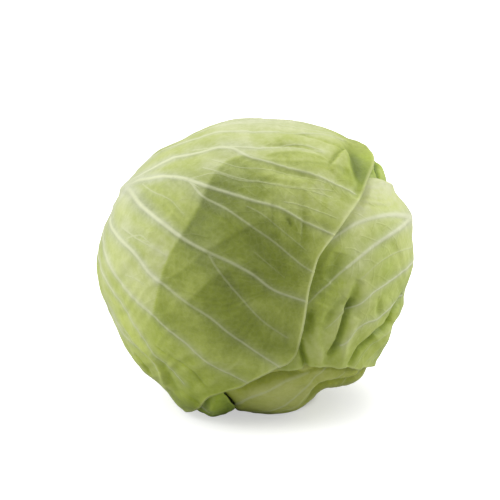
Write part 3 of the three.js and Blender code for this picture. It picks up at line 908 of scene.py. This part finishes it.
def build_mesh(name, places, faces, fields):
    mesh = bpy.data.meshes.new(name)
    mesh.from_pydata((places * MM).tolist(), [], faces)
    mesh.polygons.foreach_set("use_smooth", [True] * len(mesh.polygons))
    for key, values in fields.items():
        layer = mesh.attributes.new(key, "FLOAT", "POINT")
        layer.data.foreach_set("value", values.astype(np.float32))
    mesh.validate()
    mesh.update()
    return add_object(name, mesh)


def add_object(name, data):
    made = bpy.data.objects.new(name, data)
    bpy.context.collection.objects.link(made)
    return made


# -------- materials

def srgb(red, green, blue):
    """A colour written as 0 to 255 display values, as Blender's linear RGBA."""
    def linear(value):
        value = value / 255
        return value / 12.92 if value <= 0.04045 else ((value + 0.055) / 1.055) ** 2.4
    return linear(red), linear(green), linear(blue), 1.0


RIB_COLOUR = srgb(222, 226, 183)
# The painted highlight along the leaf margins.
MARGIN_HIGHLIGHT = srgb(226, 234, 158)
FRESH_TINT = (0.92, 1.0, 0.40, 1.0)
WHITE = (1.0, 1.0, 1.0, 1.0)


class Nodes:
    """Adds shader nodes to a material. Every call but new returns one output of what it adds."""

    def __init__(self, tree):
        self.tree = tree
        tree.nodes.clear()

    def new(self, kind, inputs=(), **settings):
        made = self.tree.nodes.new(kind)
        for key, value in settings.items():
            setattr(made, key, value)
        for key, value in dict(inputs).items():
            if isinstance(value, bpy.types.NodeSocket):
                self.tree.links.new(value, made.inputs[key])
            else:
                made.inputs[key].default_value = value
        return made

    def add(self, kind, inputs=(), output=0, **settings):
        return self.new(kind, inputs, **settings).outputs[output]

    def total(self, first, *others):
        for other in others:
            first = self.add("ShaderNodeMath", {0: first, 1: other}, operation="ADD")
        return first

    def times(self, first, second):
        return self.add("ShaderNodeMath", {0: first, 1: second}, operation="MULTIPLY")

    def field(self, name):
        return self.add("ShaderNodeAttribute", attribute_name=name, output="Fac")

    def places(self):
        return self.add("ShaderNodeTexCoord", output="Object")

    def ramp(self, value, low, high, start=0.0, end=1.0):
        pairs = {"Value": value, "From Min": low, "From Max": high, "To Min": start, "To Max": end}
        return self.add("ShaderNodeMapRange", pairs, interpolation_type="SMOOTHSTEP")

    def mix(self, amount, first, second, blend="MIX"):
        pairs = {0: amount, 6: first, 7: second}
        return self.add("ShaderNodeMix", pairs, output=2, data_type="RGBA", blend_type=blend)

    def noise(self, where, scale, detail=3.0, roughness=0.6, output=0):
        pairs = {"Vector": where, "Scale": scale, "Detail": detail, "Roughness": roughness}
        return self.add("ShaderNodeTexNoise", pairs, output)

    def vector(self, operation, first, second, output=0):
        return self.add("ShaderNodeVectorMath", {0: first, 1: second}, output, operation=operation)

    def bump(self, height, strength, distance):
        return self.add("ShaderNodeBump", {"Height": height, "Strength": strength, "Distance": distance})

    def vein(self, name, reach):
        """1 on the line of a vein, 0 past reach half widths: sharp, since the signed distance crosses 0."""
        signed = self.add("ShaderNodeMath", {0: self.field(name)}, operation="ABSOLUTE")
        near = self.times(self.field(name + "_near"), 0.6)
        furthest = self.add("ShaderNodeMath", {0: signed, 1: near}, operation="MAXIMUM")
        return self.ramp(furthest, low=0.1, high=reach, start=1.0, end=0.0)

    def greens(self, tone, colours):
        """Evenly spaced colours by tone, from 0 to 1."""
        ramp = self.new("ShaderNodeValToRGB", {0: tone})
        stops = ramp.color_ramp.elements
        while len(stops) < len(colours):
            stops.new(0.5)
        for number, (stop, colour) in enumerate(zip(stops, colours)):
            stop.position = number / (len(colours) - 1)
            stop.color = srgb(*colour)
        return ramp.outputs[0]


def new_material(name):
    material = bpy.data.materials.new(name)
    material.use_nodes = True
    return material, Nodes(material.node_tree)


def finish_material(nodes, colour, roughness, normal, sheen):
    shader = nodes.add("ShaderNodeBsdfPrincipled", {
        "Base Color": colour,
        "Roughness": roughness,
        "Normal": normal,
        "IOR": 1.42,
        "Sheen Weight": sheen,
        "Sheen Roughness": 0.45,
    })
    nodes.new("ShaderNodeOutputMaterial", {"Surface": shader})


def leaf_material(leaf):
    """Waxy leaf: greens from deep to nearly white, pale ribs and veinlets, a painted highlight along the
    margin.
    """
    material, nodes = new_material(leaf["slot"] + "_surface")
    where = nodes.places()
    clouds = nodes.noise(where, scale=38.0, detail=4.0, roughness=0.5)
    mottle = nodes.noise(where, scale=130.0)
    specks = nodes.noise(where, scale=420.0)
    tone = nodes.total(
        nodes.field("tone"),
        nodes.ramp(clouds, 0.3, 0.7, -0.04, 0.04),
        nodes.ramp(mottle, 0.3, 0.7, -0.03, 0.03),
        nodes.ramp(specks, 0.25, 0.75, -0.03, 0.03),
    )
    colour = nodes.greens(tone, leaf["greens"])
    colour = nodes.mix(nodes.field("fresh"), colour, FRESH_TINT, blend="MULTIPLY")

    bend = nodes.noise(where, scale=160.0, detail=2.0, roughness=0.5, output=1)
    bent = nodes.vector("ADD", where, nodes.vector("MULTIPLY", bend, (0.006, 0.006, 0.006)))
    cells = {"Vector": bent, "Scale": 300.0, "Randomness": 1.0}
    from_edge = nodes.add("ShaderNodeTexVoronoi", cells, feature="DISTANCE_TO_EDGE")
    network = nodes.ramp(from_edge, low=0.0, high=0.16, start=0.035, end=0.0)
    colour = nodes.mix(network, colour, RIB_COLOUR)

    power = nodes.field("rib_power")
    veinlet = nodes.vein("veinlet", reach=1.8)
    colour = nodes.mix(nodes.times(veinlet, nodes.times(power, 0.07)), colour, RIB_COLOUR)
    hazy = {"Saturation": 0.35, "Value": 1.04, "Color": colour}
    colour = nodes.mix(nodes.field("haze"), colour, nodes.add("ShaderNodeHueSaturation", hazy))
    rib = nodes.vein("rib", reach=RIB_EDGE)
    colour = nodes.mix(nodes.times(rib, nodes.times(power, 0.92)), colour, RIB_COLOUR)
    # Painted highlight along the margin.
    near_margin = nodes.ramp(nodes.field("within"), low=0.25, high=1.6, start=1.0, end=0.0)
    colour = nodes.mix(nodes.times(near_margin, nodes.field("rim")), colour, MARGIN_HIGHLIGHT)

    heights = ((rib, 0.5), (veinlet, 0.25), (specks, 0.25), (network, 1.6))
    height = nodes.total(*[nodes.times(part, share) for part, share in heights])
    normal = nodes.bump(height, strength=0.35, distance=0.0006)
    roughness = nodes.ramp(clouds, 0.3, 0.7, 0.46, 0.58)
    finish_material(nodes, colour, roughness, normal, sheen=0.08)
    return material


def inner_head_material():
    material, nodes = new_material("inner_leaves_surface")
    clouds = nodes.noise(nodes.places(), scale=60.0, detail=4.0, roughness=0.5)
    colour = nodes.mix(nodes.ramp(clouds, 0.3, 0.7), srgb(206, 214, 150), srgb(222, 226, 176))
    normal = nodes.bump(clouds, strength=0.3, distance=0.0008)
    roughness = nodes.ramp(clouds, 0.3, 0.7, 0.45, 0.55)
    finish_material(nodes, colour, roughness, normal, sheen=0.1)
    return material


def stump_material():
    """Dry cut stem: cream, with fine speckled grain and browned patches."""
    material, nodes = new_material("cut_stem_surface")
    where = nodes.places()
    grain = nodes.noise(where, scale=900.0, roughness=0.7)
    patches = nodes.noise(where, scale=120.0, detail=4.0)
    colour = nodes.mix(nodes.ramp(grain, 0.35, 0.65), srgb(206, 200, 152), srgb(228, 224, 186))
    colour = nodes.mix(nodes.ramp(patches, 0.52, 0.75, 0.0, 0.7), colour, srgb(168, 146, 96))
    normal = nodes.bump(grain, strength=0.6, distance=0.0006)
    roughness = nodes.ramp(grain, 0.3, 0.7, 0.65, 0.85)
    finish_material(nodes, colour, roughness, normal, sheen=0.0)
    return material


# -------- inner head and stem stump

# The inner head's rings from end to end, the steps round each, and its gap under the leaves in mm.
HEAD_RINGS = 150
HEAD_STEPS = 220
HEAD_GAP = 0.3

# The stub of stem, from its cut face's middle outwards and then down its side: share of its radius, and
# height in mm. It ends inside the head, at a share of its packed length.
STUMP_PROFILE = [
    (0.15, -0.9), (0.40, -0.6), (0.62, -0.3), (0.80, -0.15), (0.90, -0.2), (0.955, -0.9), (0.965, -2.2),
    (0.97, -5.0), (0.99, -8.0), (1.0, -11.0),
]
STUMP_HOLLOW = -0.9
STUMP_INSIDE = -0.6
STUMP_STEPS = 72

# How far out the cut face stands, as a share of the head's mean radius. Then waves round it, as (size, how
# many, start): out of round as shares of the radius, and up and down in mm.
STUMP_OUT = 1.058
STUMP_UNEVEN = [(0.018, 3, 0.7), (0.012, 5, 2.0)]
STUMP_TILT = (0.25, 2, 1.0)


def round_faces(rings, steps):
    """Faces over rings of points, with the first point of all at one end and the last at the other."""
    index = 1 + np.arange(rings * steps).reshape(rings, steps)
    index = np.hstack([index, index[:, :1]])
    first, last = index[0].tolist(), index[-1].tolist()
    faces = quads_of(index.T)
    faces += [[0, here, after] for here, after in zip(first, first[1:])]
    faces += [[rings * steps + 1, after, here] for here, after in zip(last, last[1:])]
    return faces


def inner_head_mesh():
    """The tight inner leaves, as one round body under the wrapper leaves."""
    ring, step = np.meshgrid(np.arange(1, HEAD_RINGS), np.arange(HEAD_STEPS), indexing="ij")
    points = np.stack([360 * step.ravel() / HEAD_STEPS, 180 * ring.ravel() / HEAD_RINGS], 1)
    dirs = directions(np.vstack([(0, 0), points, (0, 180)]))
    radius = layer_radius(dirs, margins_outside(dirs, len(LEAVES))) - HEAD_GAP
    faces = round_faces(HEAD_RINGS - 1, HEAD_STEPS)
    return build_mesh("inner_head_shape", CENTRE + dirs * radius[:, None], faces, {})


def stump_mesh():
    """The cut stem: a stub with a slightly uneven rim and a shallow hollow in its cut face."""
    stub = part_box("stem_stump")
    inside = STUMP_INSIDE * (stub[1] - stub[0]).length / MM
    radius = (stub[1].x - stub[0].x) / 2 / MM
    turn = 2 * math.pi * np.arange(STUMP_STEPS) / STUMP_STEPS
    around = np.cos(turn)[:, None] * ACROSS + np.sin(turn)[:, None] * UPRIGHT
    uneven = 1 + sum(size * np.sin(count * turn + start) for size, count, start in STUMP_UNEVEN)
    size, count, start = STUMP_TILT
    tilt = size * np.sin(count * turn + start)
    tip = MEAN_RADIUS * STUMP_OUT
    profile = STUMP_PROFILE + [(1.0, inside)]
    places = [CENTRE - (tip + STUMP_HOLLOW) * GROWTH]
    for share, back in profile:
        high_up = (tip + back + tilt * share)[:, None]
        places.append(CENTRE - high_up * GROWTH + (radius * share * uneven)[:, None] * around)
    places.append(CENTRE - (tip + inside) * GROWTH)
    faces = [face[::-1] for face in round_faces(len(profile), STUMP_STEPS)]
    return build_mesh("stem_stump_shape", np.vstack(places), faces, {})


# -------- camera, light and floor

# The camera faces the leaf tips, aimed a little above and to the left of the head's centre. Distances are
# in metres, lens and sensor in mm.
CAMERA_DISTANCE = 0.8
CAMERA_LENS = 101.0
CAMERA_SENSOR = 36.0
AIM_UP = 0.0085
AIM_LEFT = 0.0028

# Soft boxes, aimed at one height over the floor: name, place and size in metres, and power in watts.
LIT_HEIGHT = 0.08
SOFT_BOXES = [
    ("top_light", (0.05, 0.35, 1.15), (1.0, 0.8), 6.4),
    ("left_light", (-1.1, 0.15, 0.42), (0.8, 0.9), 5.4),
    ("right_light", (1.1, 0.25, 0.5), (0.8, 0.9), 7.8),
    ("key_light", (-0.75, -0.65, 0.85), (0.4, 0.4), 4.0),
]

# The floor's half size in metres, and its own glow to the camera. The glow rises in two steps with distance
# from the middle of the contact shadow: where each starts and ends in metres, and what it adds.
FLOOR_HALF = 6.0
SHADOW_MIDDLE = (0.008, 0.0, 0.0)
GLOW_STEPS = [(0.019, 0.031, 0.52), (0.034, 0.100, 0.54)]


def add_looking(name, data, place, way):
    """Adds a camera or a lamp at a place, looking along a direction."""
    made = add_object(name, data)
    made.location = place
    made.rotation_mode = "QUATERNION"
    made.rotation_quaternion = way.to_track_quat("-Z", "Y")
    return made


def add_camera():
    data = bpy.data.cameras.new("camera")
    data.lens = CAMERA_LENS
    data.sensor_width = CAMERA_SENSOR
    ahead = -Vector(GROWTH)
    aim = Vector(CENTRE) * MM + Vector(UPRIGHT) * AIM_UP - Vector(ACROSS) * AIM_LEFT
    bpy.context.scene.camera = add_looking("camera", data, aim - ahead * CAMERA_DISTANCE, ahead)


def add_light():
    for name, place, size, power in SOFT_BOXES:
        data = bpy.data.lights.new(name, "AREA")
        data.shape = "RECTANGLE"
        data.size, data.size_y = size
        data.energy = power
        lamp = add_looking(name, data, place, Vector((0, 0, LIT_HEIGHT)) - Vector(place))

    # The sky lights the scene softly, and the camera sees plain white.
    world = bpy.data.worlds.new("world")
    world.use_nodes = True
    nodes = Nodes(world.node_tree)
    ray = nodes.add("ShaderNodeLightPath", output="Is Camera Ray")
    soft = nodes.add("ShaderNodeBackground", {"Color": (0.97, 0.98, 1.0, 1.0), "Strength": 0.43})
    white = nodes.add("ShaderNodeBackground", {"Color": WHITE, "Strength": 1.0})
    seen = nodes.add("ShaderNodeMixShader", {0: ray, 1: soft, 2: white})
    nodes.new("ShaderNodeOutputWorld", {"Surface": seen})
    bpy.context.scene.world = world


def add_floor():
    mesh = bpy.data.meshes.new("floor")
    corners = [(x * FLOOR_HALF, y * FLOOR_HALF, 0) for x, y in ((-1, -1), (1, -1), (1, 1), (-1, 1))]
    mesh.from_pydata(corners, [], [(0, 1, 2, 3)])
    material, nodes = new_material("floor_surface")
    paint = nodes.add("ShaderNodeBsdfDiffuse", {"Color": (0.55, 0.55, 0.55, 1.0)})
    away = nodes.vector("DISTANCE", nodes.places(), SHADOW_MIDDLE, output=1)
    glow = nodes.total(*[nodes.ramp(away, start, end, 0.0, rise) for start, end, rise in GLOW_STEPS])
    to_camera = nodes.times(nodes.add("ShaderNodeLightPath", output="Is Camera Ray"), glow)
    shine = nodes.add("ShaderNodeEmission", {"Color": WHITE, "Strength": to_camera})
    both = nodes.add("ShaderNodeAddShader", {0: paint, 1: shine})
    nodes.new("ShaderNodeOutputMaterial", {"Surface": both})
    mesh.materials.append(material)
    floor = add_object("floor", mesh)


# -------- putting it together

def stand_for(piece, material, node):
    piece.data.materials.append(material)
    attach(piece, "root")
    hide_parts(node)


add_camera()
for each_leaf in LEAVES:
    stand_for(leaf_mesh(each_leaf), leaf_material(each_leaf), each_leaf["node"])
stand_for(inner_head_mesh(), inner_head_material(), "inner_head")
stand_for(stump_mesh(), stump_material(), "stem_stump")
add_light()
add_floor()
bpy.context.scene.view_settings.view_transform = "Standard"
